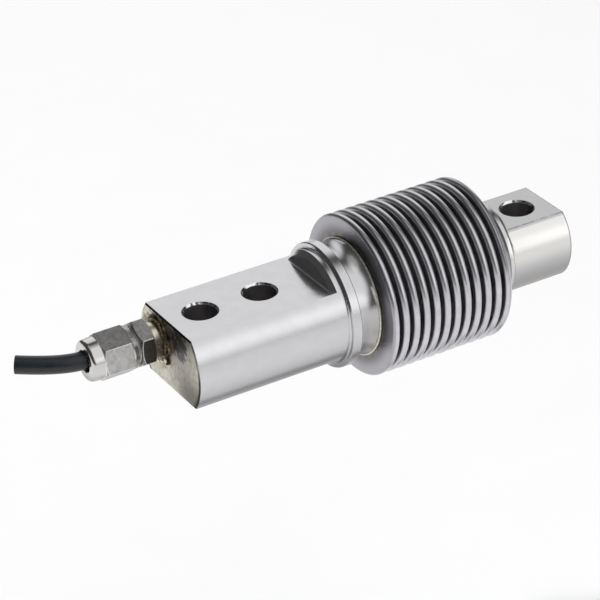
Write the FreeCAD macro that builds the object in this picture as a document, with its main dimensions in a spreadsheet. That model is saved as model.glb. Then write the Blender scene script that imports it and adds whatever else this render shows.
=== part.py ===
import FreeCAD, Part
import math
import os
import Sketcher

os.makedirs("parts", exist_ok=True)
doc = FreeCAD.newDocument("bellows_load_cell")

# Sizes in millimetres and degrees. Places along x are counted from the end
# face where the cable enters, on the axis of the round block, towards the
# load end. The finished cell stands on the lower flat, midway between its two
# mounting holes.
SIZES = [
    # fixed block
    ("block_radius", 16.25),
    ("block_height", 20.5),
    ("block_length", 43.3),
    ("wall_edge", 1.2),
    ("wall_foot_radius", 0.5),
    ("end_chamfer", 0.4),
    ("rear_hole_inset", 10.0),
    ("hole_spacing", 18.0),
    ("hole_radius", 4.5),
    ("hole_chamfer", 0.55),
    # flange and neck, as steps along the bar
    ("wall_to_flange", 2.85),
    ("flange_width", 2.85),
    ("flange_rise", 1.5),
    ("flange_edge", 0.25),
    ("flange_foot_radius", 0.5),
    ("neck_length", 2.3),
    ("flare_length", 3.4),
    ("flare_rise", 0.97),
    ("lip_length", 0.45),
    ("rear_seat_radius", 16.3),
    ("rear_seat_length", 2.35),
    # bending beam inside the bellows
    ("beam_side_gap", 10.8),
    ("beam_height", 19.0),
    ("eye_radius", 7.0),
    ("eye_spacing", 16.0),
    ("slot_height", 4.0),
    # front plug, collar and load end
    ("front_seat_radius", 15.2),
    ("front_seat_length", 3.7),
    ("front_seam_width", 0.4),
    ("front_seam_rise", 0.2),
    ("collar_step", 0.2),
    ("collar_width", 1.2),
    ("collar_edge", 0.45),
    ("load_radius", 13.2),
    ("load_height", 19.5),
    ("load_length", 18.6),
    ("load_hole_inset", 9.5),
    ("load_chamfer", 0.3),
    # bellows
    ("bellows_wall", 0.25),
    ("cuff_clearance", 0.02),
    ("cuff_corner", 0.16),
    ("first_crest_step", 1.47),
    ("pitch", 3.27),
    ("convolutions", 12),
    ("crest_round", 1.025),
    ("root_gap", 1.03),
    ("fold_depth", 5.4),
    ("front_cuff_length", 5.41),
    ("weld_bead", 0.28),
    # cable gland, as steps out of the end face
    ("gland_y", 5.7),
    ("gland_z", 3.0),
    ("gland_hex", 12.0),
    ("gland_body_angle", 26.3),
    ("gland_nut_angle", 21.4),
    ("hex_chamfer_angle", 30.0),
    ("spigot_radius", 3.95),
    ("spigot_clearance", 0.05),
    ("spigot_length", 2.0),
    ("spigot_bore_depth", 4.0),
    ("gland_weld_leg", 0.9),
    ("gland_collar_length", 1.4),
    ("gland_neck_radius", 5.0),
    ("gland_neck_length", 2.2),
    ("body_hex_length", 4.1),
    ("thread_depth", 1.15),
    ("thread_length", 4.5),
    ("thread_clearance", 0.1),
    ("nut_gap", 1.0),
    ("nut_band_length", 1.3),
    ("nut_band_rise", 0.2),
    ("nut_hex_length", 8.5),
    ("nut_round_inset", 0.05),
    ("nut_shank_length", 2.5),
    ("nut_shank_taper", 0.2),
    ("nut_nose_length", 1.1),
    ("nut_nose_step", 1.15),
    ("nut_nose_round", 1.17),
    ("nut_entry_gap", 0.9),
    ("seal_length", 3.5),
    ("seal_clearance", 0.02),
    ("washer_thickness", 0.5),
    # cable
    ("cable_radius", 2.5),
    ("cable_way_gap", 0.2),
    ("cable_stop_step", 0.5),
    ("cable_grip", 3.2),
    ("cable_run", 10.4),
    ("cable_end_run", 10.3),
    ("cable_heading_one", 13.5),
    ("cable_heading_two", 34.0),
    ("cable_rise", 3.5),
    # wires and the way they take
    ("passage_radius", 1.5),
    ("passage_gap", 0.2),
    ("core_radius", 0.45),
    ("core_gap", 0.1),
    ("core_spigot_stop", 1.8),
    ("core_bore_clearance", 0.3),
    ("core_turn_reach", 1.9),
    ("sleeve_clearance", 0.08),
    ("sleeve_wall", 0.2),
    ("sleeve_inset", 2.0),
    ("sleeve_reach", 0.9),
    ("lead_radius", 0.2),
    ("lead_lift", 0.02),
    ("lead_spacing", 1.6),
    ("lead_turn_reach", 1.6),
    ("lead_setback", 0.9),
    ("lead_pad_reach", 3.1),
    ("lead_pad_spacing", 1.2),
    ("lead_pad_radius", 0.25),
    ("bridge_rise", 0.5),
    ("bridge_run", 1.6),
    # terminal board and what it carries
    ("board_inset", 1.3),
    ("board_gap", 0.3),
    ("board_thickness", 1.0),
    ("notch_gap", 0.25),
    ("solder_height", 0.4),
    ("chip_length", 3.2),
    ("chip_width", 1.6),
    ("chip_height", 0.6),
    ("chip_pitch", 2.3),
    ("chip_shift", 0.4),
    ("chip_side_gap", 0.6),
    ("chip_drop", 6.08),
    # strain gauges
    ("gauge_length", 6.4),
    ("gauge_width", 3.6),
    ("gauge_thickness", 0.12),
    ("gauge_tab", 0.8),
]

sheet = doc.addObject("Spreadsheet::Sheet", "Sizes")
for row, (alias, value) in enumerate(SIZES, start=1):
    sheet.set(f"A{row}", alias)
    sheet.set(f"B{row}", str(value))
    sheet.setAlias(f"B{row}", alias)
doc.recompute()


class Size:
    """A number together with the sheet formula that gives it."""

    def __init__(self, value, formula):
        self.value = float(value)
        self.formula = formula

    def __add__(self, other):
        other = as_size(other)
        return Size(self.value + other.value, f"({self.formula} + {other.formula})")

    def __sub__(self, other):
        other = as_size(other)
        return Size(self.value - other.value, f"({self.formula} - {other.formula})")

    def __mul__(self, other):
        other = as_size(other)
        return Size(self.value * other.value, f"({self.formula} * {other.formula})")

    def __truediv__(self, other):
        other = as_size(other)
        return Size(self.value / other.value, f"({self.formula} / {other.formula})")

    def __neg__(self):
        return Size(-self.value, f"(0 - {self.formula})")

    def __radd__(self, other):
        return as_size(other) + self

    def __rsub__(self, other):
        return as_size(other) - self


def as_size(number):
    return number if isinstance(number, Size) else Size(number, f"({number})")


def root(size):
    return Size(math.sqrt(size.value), f"sqrt({size.formula})")


s = {alias: Size(value, f"Sizes.{alias}") for alias, value in SIZES}
ZERO = as_size(0)

# Places along the bar, each from the one before it.
wall_x = s["block_length"]
flange_rear_x = wall_x + s["wall_to_flange"]
flange_front_x = flange_rear_x + s["flange_width"]
neck_front_x = flange_front_x + s["neck_length"]
lip_rear_x = neck_front_x + s["flare_length"]
rear_seam_x = lip_rear_x + s["lip_length"]
shoulder_x = rear_seam_x + s["rear_seat_length"]
first_x = rear_seam_x + s["first_crest_step"]
last_x = first_x + s["pitch"] * (s["convolutions"] - 1)
front_seam_x = last_x + s["front_cuff_length"]
plug_rear_x = front_seam_x - s["front_seat_length"]
seam_end_x = front_seam_x + s["front_seam_width"]
collar_front_x = seam_end_x + s["collar_width"]
collar_end_x = collar_front_x + s["collar_edge"]
collar_radius = s["front_seat_radius"] - s["collar_step"]
collar_end_radius = collar_radius - s["collar_edge"]
load_rear_x = collar_end_x + collar_end_radius - s["load_radius"]
load_end_x = load_rear_x + s["load_length"]
rear_hole_x = s["rear_hole_inset"]
front_hole_x = rear_hole_x + s["hole_spacing"]
load_hole_x = load_end_x - s["load_hole_inset"]

frame_x = (rear_hole_x + front_hole_x) / 2
frame_z = s["block_height"] / 2


def place(piece, x=ZERO, y=ZERO, z=ZERO, angle=None):
    """Bind a piece's place, given in the measuring frame, to the sheet."""
    if angle is not None:
        turned = FreeCAD.Rotation(FreeCAD.Vector(1, 0, 0), angle.value)
        piece.Placement = FreeCAD.Placement(FreeCAD.Vector(), turned)
        piece.setExpression("Placement.Rotation.Angle", angle.formula)
    piece.setExpression("Placement.Base.x", (x - frame_x).formula)
    piece.setExpression("Placement.Base.y", y.formula)
    piece.setExpression("Placement.Base.z", (z + frame_z).formula)


def new_body(name, **where):
    body = doc.addObject("PartDesign::Body", name)
    body.Label = name
    place(body, **where)
    return body


def new_sketch(body, name, plane, offset=None):
    """A sketch on one of the body's own planes, moved along its normal."""
    sketch = body.newObject("Sketcher::SketchObject", name)
    feature = next(f for f in body.Origin.OriginFeatures if f.Role == plane)
    sketch.AttachmentSupport = [(feature, "")]
    sketch.MapMode = "FlatFace"
    if offset is not None:
        sketch.AttachmentOffset = FreeCAD.Placement(FreeCAD.Vector(0, 0, offset.value), FreeCAD.Rotation())
        sketch.setExpression("AttachmentOffset.Base.z", offset.formula)
    return sketch


def bind(sketch, index, size):
    sketch.setExpression(f"Constraints[{index}]", size.formula)


def pin(sketch, shape, end, x, y):
    """Hold one point of a sketch at a place given by two sizes."""
    origin = (-1, 1)
    for axis, kind, size in ((-2, "DistanceX", x), (-1, "DistanceY", y)):
        if abs(size.value) < 1e-9:
            sketch.addConstraint(Sketcher.Constraint("PointOnObject", shape, end, axis))
        elif size.value > 0:
            held = Sketcher.Constraint(kind, *origin, shape, end, size.value)
            bind(sketch, sketch.addConstraint(held), size)
        else:
            size = -size
            held = Sketcher.Constraint(kind, shape, end, *origin, size.value)
            bind(sketch, sketch.addConstraint(held), size)


def arc_between(start, end, radius, left):
    """Arc from start to end, turning left or right, as centre and angles."""
    chord = end - start
    middle = (start + end) * 0.5
    side = FreeCAD.Vector(-chord.y, chord.x, 0).normalize()
    reach = math.sqrt(max(radius * radius - chord.Length ** 2 / 4, 0))
    centre = middle + side * (reach if left else -reach)
    first, last = (start, end) if left else (end, start)
    angles = [math.atan2(p.y - centre.y, p.x - centre.x) for p in (first, last)]
    if angles[1] < angles[0]:
        angles[1] += 2 * math.pi
    return Part.ArcOfCircle(Part.Circle(centre, FreeCAD.Vector(0, 0, 1), radius), *angles)


def outline(sketch, steps):
    """Closed outline through (x, y) corners. A corner may carry the radius
    of the arc that leads to the next corner, positive for a left turn."""
    corners = [(as_size(step[0]), as_size(step[1])) for step in steps]
    radii = [step[2] if len(step) > 2 else None for step in steps]
    points = [FreeCAD.Vector(x.value, y.value, 0) for x, y in corners]
    ends = []
    for index, radius in enumerate(radii):
        start = points[index]
        end = points[(index + 1) % len(points)]
        if radius is None:
            shape = sketch.addGeometry(Part.LineSegment(start, end))
            ends.append((shape, 1, 2))
            continue
        left = radius.value > 0
        size = radius if left else -radius
        shape = sketch.addGeometry(arc_between(start, end, size.value, left))
        ends.append((shape, 1, 2) if left else (shape, 2, 1))
        bind(sketch, sketch.addConstraint(Sketcher.Constraint("Radius", shape, size.value)), size)
    for index, (shape, first, last) in enumerate(ends):
        following, next_first, _ = ends[(index + 1) % len(ends)]
        sketch.addConstraint(Sketcher.Constraint("Coincident", shape, last, following, next_first))
        pin(sketch, shape, first, *corners[index])


def circle(sketch, x, y, radius):
    centre = FreeCAD.Vector(x.value, y.value, 0)
    shape = sketch.addGeometry(Part.Circle(centre, FreeCAD.Vector(0, 0, 1), radius.value))
    bind(sketch, sketch.addConstraint(Sketcher.Constraint("Radius", shape, radius.value)), radius)
    pin(sketch, shape, 3, x, y)


def flatted_round(sketch, radius, height):
    """Round section with two parallel flats, one above and one below."""
    top = height / 2
    side = root(radius * radius - top * top)
    outline(sketch, [(side, -top, radius), (side, top), (-side, top, radius), (-side, -top)])


def hexagon(sketch, across_flats):
    corner = across_flats / math.sqrt(3)
    turns = [math.radians(60 * k) for k in range(6)]
    outline(sketch, [(corner * math.cos(a), corner * math.sin(a)) for a in turns])


def extrude(body, kind, name, sketch, length=None, reverse=False):
    """Pad or pocket; without a length it goes through both ways."""
    feature = body.newObject(f"PartDesign::{kind}", name)
    feature.Profile = sketch
    if length is None:
        feature.Type = "ThroughAll"
        feature.Midplane = True
    else:
        feature.Length = length.value
        feature.setExpression("Length", length.formula)
        feature.Reversed = reverse
    return feature


def turn(body, kind, name, steps):
    """Revolution or groove about the x axis of a profile of (x, radius)."""
    sketch = new_sketch(body, f"{name}_profile", "XY_Plane")
    outline(sketch, steps)
    feature = body.newObject(f"PartDesign::{kind}", name)
    feature.Profile = sketch
    feature.ReferenceAxis = (sketch, ["H_Axis"])
    feature.Angle = 360
    return feature


def dress(body, kind, name, base, wanted, size):
    """Chamfer or fillet the edges of the base that the test picks out."""
    doc.recompute()
    edges = [f"Edge{i}" for i, edge in enumerate(base.Shape.Edges, start=1) if wanted(edge)]
    if not edges:
        raise RuntimeError(f"{name} found no edge")
    feature = body.newObject(f"PartDesign::{kind}", name)
    feature.Base = (base, edges)
    key = "Size" if kind == "Chamfer" else "Radius"
    setattr(feature, key, size.value)
    feature.setExpression(key, size.formula)
    return feature


def in_plane(edge, axis, place_value):
    """True for an edge that lies wholly at one value of x, y or z."""
    box = edge.BoundBox
    low, high = {"x": (box.XMin, box.XMax), "z": (box.ZMin, box.ZMax)}[axis]
    return abs(low - place_value) < 1e-4 and abs(high - place_value) < 1e-4


def is_hole_rim(edge, height):
    return (
        edge.Curve.TypeId == "Part::GeomCircle"
        and abs(edge.Curve.Radius - s["hole_radius"].value) < 1e-4
        and any(in_plane(edge, "z", side * height.value / 2) for side in (-1, 1))
    )


def ring(name, steps, **where):
    """A piece turned in one cut."""
    body = new_body(name, **where)
    turn(body, "Revolution", f"{name}_turned", steps)
    return body


# Spring element: one bar of stainless steel. The fixed block is a round bar
# milled flat above and below and drilled through for two bolts, the middle is
# a narrow beam with two joined eyes that leave thin webs above and below, and
# the load end is a smaller flatted round with one hole.
spring = new_body("spring_element")
block_section = new_sketch(spring, "block_section", "YZ_Plane")
flatted_round(block_section, s["block_radius"], s["block_height"])
block = extrude(spring, "Pad", "block", block_section, wall_x + s["wall_edge"])
dress(
    spring, "Chamfer", "block_end", block,
    lambda edge: in_plane(edge, "x", 0), s["end_chamfer"],
)
rear_cuff = s["rear_seat_radius"] + s["cuff_clearance"]
lip_radius = rear_cuff + s["bellows_wall"]
neck_radius = lip_radius - s["flare_rise"]
flange_radius = s["block_radius"] + s["flange_rise"]
flare = s["flare_length"] * s["flare_length"] / (s["flare_rise"] * 2) + s["flare_rise"] / 2
neck = turn(spring, "Revolution", "neck", [
    (wall_x, ZERO),
    (shoulder_x, ZERO),
    (shoulder_x, s["rear_seat_radius"]),
    (rear_seam_x, s["rear_seat_radius"]),
    (rear_seam_x, lip_radius),
    (lip_rear_x, lip_radius, -flare),
    (neck_front_x, neck_radius),
    (flange_front_x, neck_radius),
    (flange_front_x, flange_radius - s["flange_edge"]),
    (flange_front_x - s["flange_edge"], flange_radius),
    (flange_rear_x + s["flange_edge"], flange_radius),
    (flange_rear_x, flange_radius - s["flange_edge"]),
    (flange_rear_x, s["block_radius"] + s["flange_foot_radius"], -s["flange_foot_radius"]),
    (flange_rear_x - s["flange_foot_radius"], s["block_radius"]),
    (wall_x + s["wall_edge"], s["block_radius"]),
    (wall_x, s["block_radius"] - s["wall_edge"]),
])
dress(
    spring, "Fillet", "wall_foot", neck,
    lambda edge: in_plane(edge, "x", wall_x.value)
    and any(in_plane(edge, "z", side * s["block_height"].value / 2) for side in (-1, 1)),
    s["wall_foot_radius"],
)
beam_section = new_sketch(spring, "beam_section", "YZ_Plane", shoulder_x)
half_width = s["rear_seat_radius"] - s["beam_side_gap"]
half_height = s["beam_height"] / 2
outline(beam_section, [
    (-half_width, -half_height),
    (half_width, -half_height),
    (half_width, half_height),
    (-half_width, half_height),
])
extrude(spring, "Pad", "beam", beam_section, plug_rear_x - shoulder_x)
turn(spring, "Revolution", "plug", [
    (plug_rear_x, ZERO),
    (load_rear_x, ZERO),
    (load_rear_x, s["load_radius"], -(load_rear_x - collar_end_x)),
    (collar_end_x, collar_end_radius),
    (collar_front_x, collar_radius),
    (seam_end_x, collar_radius),
    (seam_end_x, s["front_seat_radius"]),
    (plug_rear_x, s["front_seat_radius"]),
])
load_section = new_sketch(spring, "load_section", "YZ_Plane", load_rear_x)
flatted_round(load_section, s["load_radius"], s["load_height"])
load_block = extrude(spring, "Pad", "load_block", load_section, s["load_length"])
dress(
    spring, "Chamfer", "load_edge", load_block,
    lambda edge: in_plane(edge, "x", load_end_x.value), s["load_chamfer"],
)
eyes_section = new_sketch(spring, "eyes_section", "XZ_Plane")
beam_middle_x = (shoulder_x + plug_rear_x) / 2
eye_rear_x = beam_middle_x - s["eye_spacing"] / 2
eye_front_x = beam_middle_x + s["eye_spacing"] / 2
slot_top = s["slot_height"] / 2
slot_inset = root(s["eye_radius"] * s["eye_radius"] - slot_top * slot_top)
outline(eyes_section, [
    (eye_rear_x + slot_inset, slot_top, s["eye_radius"]),
    (eye_rear_x - s["eye_radius"], ZERO, s["eye_radius"]),
    (eye_rear_x + slot_inset, -slot_top),
    (eye_front_x - slot_inset, -slot_top, s["eye_radius"]),
    (eye_front_x + s["eye_radius"], ZERO, s["eye_radius"]),
    (eye_front_x - slot_inset, slot_top),
])
extrude(spring, "Pocket", "eyes", eyes_section)
holes_section = new_sketch(spring, "holes_section", "XY_Plane")
for hole_x in (rear_hole_x, front_hole_x, load_hole_x):
    circle(holes_section, hole_x, ZERO, s["hole_radius"])
holes = extrude(spring, "Pocket", "holes", holes_section)
dress(
    spring, "Chamfer", "hole_edges", holes,
    lambda edge: is_hole_rim(edge, s["block_height"]) or is_hole_rim(edge, s["load_height"]),
    s["hole_chamfer"],
)
spigot_bore_section = new_sketch(spring, "spigot_bore_section", "YZ_Plane")
circle(spigot_bore_section, s["gland_y"], s["gland_z"], s["spigot_radius"] + s["spigot_clearance"])
extrude(spring, "Pocket", "spigot_bore", spigot_bore_section, s["spigot_bore_depth"], reverse=True)
passage_y = half_width + s["passage_radius"] + s["passage_gap"]
passage_z = s["gland_z"]
passage_section = new_sketch(spring, "passage_section", "YZ_Plane")
circle(passage_section, passage_y, passage_z, s["passage_radius"])
extrude(spring, "Pocket", "passage", passage_section, shoulder_x + s["passage_gap"], reverse=True)

# Bellows: thin stainless tube rolled into round-topped convolutions, with a
# cuff at each end. One valley, from crest to crest, is drawn and repeated.
wall = s["bellows_wall"]
crest = s["crest_round"]
root_radius = lip_radius + s["root_gap"]
crest_radius = root_radius + s["fold_depth"]
crest_centre = crest_radius - crest
inner_crest = crest - wall
valley = s["pitch"] / 2 - crest
valley_centre = root_radius + valley
front_cuff = s["front_seat_radius"] + s["cuff_clearance"]
corner = s["cuff_corner"]
bellows = new_body("bellows")
turn(bellows, "Revolution", "rear_cuff", [
    (rear_seam_x, rear_cuff),
    (first_x - crest - corner, rear_cuff, corner + wall),
    (first_x - inner_crest, rear_cuff + wall + corner),
    (first_x - inner_crest, crest_centre, -inner_crest),
    (first_x, crest_radius - wall),
    (first_x, crest_radius, crest),
    (first_x - crest, crest_centre),
    (first_x - crest, rear_cuff + wall + corner, -corner),
    (first_x - crest - corner, rear_cuff + wall),
    (rear_seam_x, rear_cuff + wall),
])
turn(bellows, "Revolution", "front_cuff", [
    (last_x, crest_radius - wall, -inner_crest),
    (last_x + inner_crest, crest_centre),
    (last_x + inner_crest, front_cuff + wall + corner, corner + wall),
    (last_x + crest + corner, front_cuff),
    (front_seam_x, front_cuff),
    (front_seam_x, front_cuff + wall),
    (last_x + crest + corner, front_cuff + wall, -corner),
    (last_x + crest, front_cuff + wall + corner),
    (last_x + crest, crest_centre, crest),
    (last_x, crest_radius),
])
valley_x = first_x + s["pitch"] / 2
outer_valley = valley + wall
valley_turn = turn(bellows, "Revolution", "valley", [
    (first_x, crest_radius - wall, -inner_crest),
    (first_x + inner_crest, crest_centre),
    (first_x + inner_crest, valley_centre, outer_valley),
    (valley_x, root_radius - wall, outer_valley),
    (valley_x + outer_valley, valley_centre),
    (valley_x + outer_valley, crest_centre, -inner_crest),
    (first_x + s["pitch"], crest_radius - wall),
    (first_x + s["pitch"], crest_radius, crest),
    (valley_x + valley, crest_centre),
    (valley_x + valley, valley_centre, -valley),
    (valley_x, root_radius, -valley),
    (valley_x - valley, valley_centre),
    (valley_x - valley, crest_centre, crest),
    (first_x, crest_radius),
])
valleys = bellows.newObject("PartDesign::LinearPattern", "valleys")
valleys.Originals = [valley_turn]
x_axis = next(f for f in bellows.Origin.OriginFeatures if f.Role == "X_Axis")
valleys.Direction = (x_axis, [""])
valley_count = s["convolutions"] - 1
valleys.Occurrences = int(valley_count.value)
valleys.setExpression("Occurrences", valley_count.formula)
pattern_length = s["pitch"] * (s["convolutions"] - 2)
valleys.Length = pattern_length.value
valleys.setExpression("Length", pattern_length.formula)
bellows.Tip = valleys

# Weld seams that close the bellows: a fine round bead on the rear joint and a
# low fillet in the notch at the front.
bead = s["weld_bead"]
# A bend a hair wider than its chord still has a middle point.
FULL_HALF_TURN = 1.0001
ring("rear_weld_seam", [
    (rear_seam_x - bead, lip_radius),
    (rear_seam_x + bead, lip_radius, bead * FULL_HALF_TURN),
])
ring("front_weld_seam", [
    (front_seam_x, s["front_seat_radius"]),
    (seam_end_x, s["front_seat_radius"]),
    (front_seam_x, front_cuff + s["front_seam_rise"]),
])

# Gland body: hexagon with a male thread behind it for the nut, and in front a
# narrow neck and a round collar that is welded to the block. Places are steps
# back from the end face.
hex_side = s["gland_hex"] / 2
hex_corner = s["gland_hex"] / math.sqrt(3)
body_hex_front = s["gland_collar_length"] + s["gland_neck_length"]
body_hex_rear = body_hex_front + s["body_hex_length"]
thread_rear = body_hex_rear + s["thread_length"]
cable_start = thread_rear - s["cable_grip"]
thread_radius = hex_side - s["thread_depth"]
cable_way = s["cable_radius"] + s["cable_way_gap"]
core_way = s["cable_radius"] - s["cable_stop_step"]
gland_body = new_body("gland_body", y=s["gland_y"], z=s["gland_z"], angle=s["gland_body_angle"])
turn(gland_body, "Revolution", "gland_round", [
    (-thread_rear, ZERO),
    (s["spigot_length"], ZERO),
    (s["spigot_length"], s["spigot_radius"]),
    (ZERO, s["spigot_radius"]),
    (ZERO, hex_side),
    (-s["gland_collar_length"], hex_side),
    (-s["gland_collar_length"], s["gland_neck_radius"]),
    (-body_hex_rear, s["gland_neck_radius"]),
    (-body_hex_rear, thread_radius),
    (-thread_rear, thread_radius),
])
slope = s["hex_chamfer_angle"].value
corner_slope = Size(math.tan(math.radians(slope)), "tan(Sizes.hex_chamfer_angle * 1 deg)")


# How far the cut that turns off the corners reaches past them.
CORNER_MARGIN = 1.03


def hex_prism(body, name, rear, front, rear_radius, front_radius):
    """Hexagon with its corners turned off at both ends."""
    section = new_sketch(body, f"{name}_section", "YZ_Plane", -rear)
    hexagon(section, s["gland_hex"])
    extrude(body, "Pad", name, section, rear - front)
    clear = hex_corner * CORNER_MARGIN
    run = (clear - hex_side) * corner_slope
    turn(body, "Groove", f"{name}_rear_chamfer", [(-rear, rear_radius), (-rear, clear), (run - rear, clear)])
    turn(body, "Groove", f"{name}_front_chamfer", [
        (-front, front_radius), (-front, clear), (-front - run, clear),
    ])


hex_prism(gland_body, "body_hex", body_hex_rear, body_hex_front, hex_side, hex_side)
turn(gland_body, "Groove", "gland_bore", [
    (-thread_rear, ZERO),
    (s["spigot_length"], ZERO),
    (s["spigot_length"], core_way),
    (-cable_start, core_way),
    (-cable_start, cable_way),
    (-thread_rear, cable_way),
])
ring("gland_weld", [
    (ZERO, hex_side),
    (ZERO, hex_side + s["gland_weld_leg"]),
    (-s["gland_weld_leg"], hex_side),
], y=s["gland_y"], z=s["gland_z"])

# Gland nut: cap nut with a rounded nose for the cable, a long hexagon and a
# plain band at its mouth. A washer and a rubber seal sit inside it.
nut_mouth = body_hex_rear + s["nut_gap"]
nut_band = nut_mouth + s["nut_band_length"]
nut_hex_rear = nut_band + s["nut_hex_length"]
nose = nut_hex_rear + s["nut_shank_length"]
nut_lip = nose + s["nut_nose_length"]
nut_round = hex_side - s["nut_round_inset"]
band_radius = hex_side + s["nut_band_rise"]
nose_radius = nut_round - s["nut_shank_taper"]
seal_rear = thread_rear + s["seal_length"]
nut_seat = seal_rear + s["washer_thickness"]
nut_thread = thread_radius + s["thread_clearance"]
nut_entry = s["cable_radius"] + s["nut_entry_gap"]
gland_nut = new_body("gland_nut", y=s["gland_y"], z=s["gland_z"], angle=s["gland_nut_angle"])
turn(gland_nut, "Revolution", "nut_round", [
    (-nut_lip, ZERO),
    (-nut_mouth, ZERO),
    (-nut_mouth, nut_round),
    (-nut_band, band_radius),
    (-nut_hex_rear, nut_round),
    (-nose, nose_radius, s["nut_nose_round"]),
    (-nut_lip, nose_radius - s["nut_nose_step"]),
])
hex_prism(gland_nut, "nut_hex", nut_hex_rear, nut_band, nut_round, band_radius)
turn(gland_nut, "Groove", "nut_bore", [
    (-nut_lip, ZERO),
    (-nut_mouth, ZERO),
    (-nut_mouth, nut_thread),
    (-nut_seat, nut_thread),
    (-nut_seat, nut_entry),
    (-nut_lip, nut_entry),
])
ring("gland_washer", [
    (-nut_seat, cable_way),
    (-seal_rear, cable_way),
    (-seal_rear, thread_radius),
    (-nut_seat, thread_radius),
], y=s["gland_y"], z=s["gland_z"])
seal_way = s["cable_radius"] + s["seal_clearance"]
ring("gland_seal", [
    (-seal_rear, seal_way),
    (-thread_rear, seal_way),
    (-thread_rear, thread_radius),
    (-seal_rear, thread_radius),
], y=s["gland_y"], z=s["gland_z"])


# The part of the shorter run that a bend takes up.
BEND_SHARE = 0.45


def tube_shape(name, points, radius):
    """Round wire or cable of straight runs joined by tangent arcs."""
    starts = [FreeCAD.Vector(*(p.value for p in point)) for point in points]
    edges = []
    here = starts[0]
    for before, at, after in zip(starts, starts[1:], starts[2:]):
        arriving = (at - before).normalize()
        leaving = (after - at).normalize()
        half_turn = arriving.getAngle(leaving) / 2
        reach = BEND_SHARE * min((at - before).Length, (after - at).Length)
        bend = reach / math.tan(half_turn)
        print(f"{name}: bend radius {bend:.1f} mm")
        bisector = (leaving - arriving).normalize()
        mid = at + bisector * (bend / math.cos(half_turn) - bend)
        edges.append(Part.LineSegment(here, at - arriving * reach).toShape())
        edges.append(Part.Arc(at - arriving * reach, mid, at + leaving * reach).toShape())
        here = at + leaving * reach
    edges.append(Part.LineSegment(here, starts[-1]).toShape())
    heading = (starts[1] - starts[0]).normalize()
    section = Part.Wire([Part.Circle(starts[0], heading, radius.value).toShape()])
    return Part.Wire(edges).makePipeShell([section], True, False)


def shaped(name, shape):
    """A piece whose shape follows a route in the measuring frame."""
    piece = doc.addObject("Part::Feature", name)
    piece.Label = name
    piece.Shape = shape
    place(piece)
    return piece


# Cable: round and black, cut square a short way behind the nut.
heading_one = math.radians(s["cable_heading_one"].value)
heading_two = math.radians(s["cable_heading_two"].value)
rise = math.radians(s["cable_rise"].value)
cable_points = [(-cable_start, s["gland_y"], s["gland_z"])]
for run, heading, climb in (
    (s["cable_run"], 0, 0),
    (s["cable_run"], heading_one, 0),
    (s["cable_end_run"], heading_two, rise),
):
    x, y, z = cable_points[-1]
    cable_points.append((
        x - run * (math.cos(heading) * math.cos(climb)),
        y + run * (math.sin(heading) * math.cos(climb)),
        z + run * math.sin(climb),
    ))
shaped("cable", tube_shape("cable", cable_points, s["cable_radius"]))

# Terminal board: a segment of fibre board glued to the shoulder beside the
# beam, notched where the wires come out of the block.
board = new_body("terminal_board")
board_radius = s["rear_seat_radius"] - s["board_inset"]
board_edge = half_width + s["board_gap"]
board_top = root(board_radius * board_radius - board_edge * board_edge)
board_section = new_sketch(board, "board_section", "YZ_Plane", shoulder_x)
outline(board_section, [(board_edge, -board_top, board_radius), (board_edge, board_top)])
extrude(board, "Pad", "board_plate", board_section, s["board_thickness"])
notch_section = new_sketch(board, "notch_section", "YZ_Plane", shoulder_x)
circle(notch_section, passage_y, passage_z, s["passage_radius"] + s["notch_gap"])
extrude(board, "Pocket", "notch", notch_section)
board_x = shoulder_x + s["board_thickness"]

# Resistors on the board, one below the other.
for row, name in enumerate(("temperature_resistor", "zero_trim_resistor", "span_resistor")):
    chip = doc.addObject("Part::Box", name)
    chip.Label = name
    for key, size in (("Length", "chip_height"), ("Width", "chip_length"), ("Height", "chip_width")):
        chip.setExpression(key, s[size].formula)
    place(
        chip, board_x,
        passage_y + s["passage_radius"] + s["chip_side_gap"] - s["chip_shift"] * row,
        passage_z - s["chip_drop"] - s["chip_pitch"] * row,
    )

# The four insulated cores of the cable run through the gland and the block
# inside a sleeve, then fan out to their solder points on the board. Each core
# has its corner of the bundle and its solder point, from the passage's axis.
core_step = s["core_radius"] + s["core_gap"] / 2
solder_x = board_x + s["solder_height"]
core_turn_x = solder_x + s["core_turn_reach"]
CORES = {
    "core_red": (-1, 1, 0.4, 5.3),
    "core_black": (1, 1, 4.3, 3.3),
    "core_green": (1, -1, 5.2, -2.0),
    "core_white": (-1, -1, 1.1, -5.8),
}
core_pads = []
for name, (side, level, pad_y, pad_z) in CORES.items():
    gland_at = (s["gland_y"] + core_step * side, s["gland_z"] + core_step * level)
    passage_at = (passage_y + core_step * side, passage_z + core_step * level)
    pad_at = (passage_y + pad_y, passage_z + pad_z)
    core_pads.append(pad_at)
    shaped(name, tube_shape(name, [
        (-cable_start, *gland_at),
        (s["spigot_length"] - s["core_spigot_stop"], *gland_at),
        (s["spigot_bore_depth"] + s["core_bore_clearance"], *passage_at),
        (core_turn_x, *passage_at),
        (core_turn_x, *pad_at),
        (solder_x, *pad_at),
    ], s["core_radius"]))
sleeve_outside = s["passage_radius"] - s["sleeve_clearance"]
sleeve_inside = sleeve_outside - s["sleeve_wall"]
sleeve_rear_x = s["spigot_bore_depth"] + s["sleeve_inset"]
sleeve_front_x = shoulder_x + s["sleeve_reach"]
ring("core_sleeve", [
    (sleeve_rear_x, sleeve_inside),
    (sleeve_front_x, sleeve_inside),
    (sleeve_front_x, sleeve_outside),
    (sleeve_rear_x, sleeve_outside),
], y=passage_y, z=passage_z)

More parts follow.
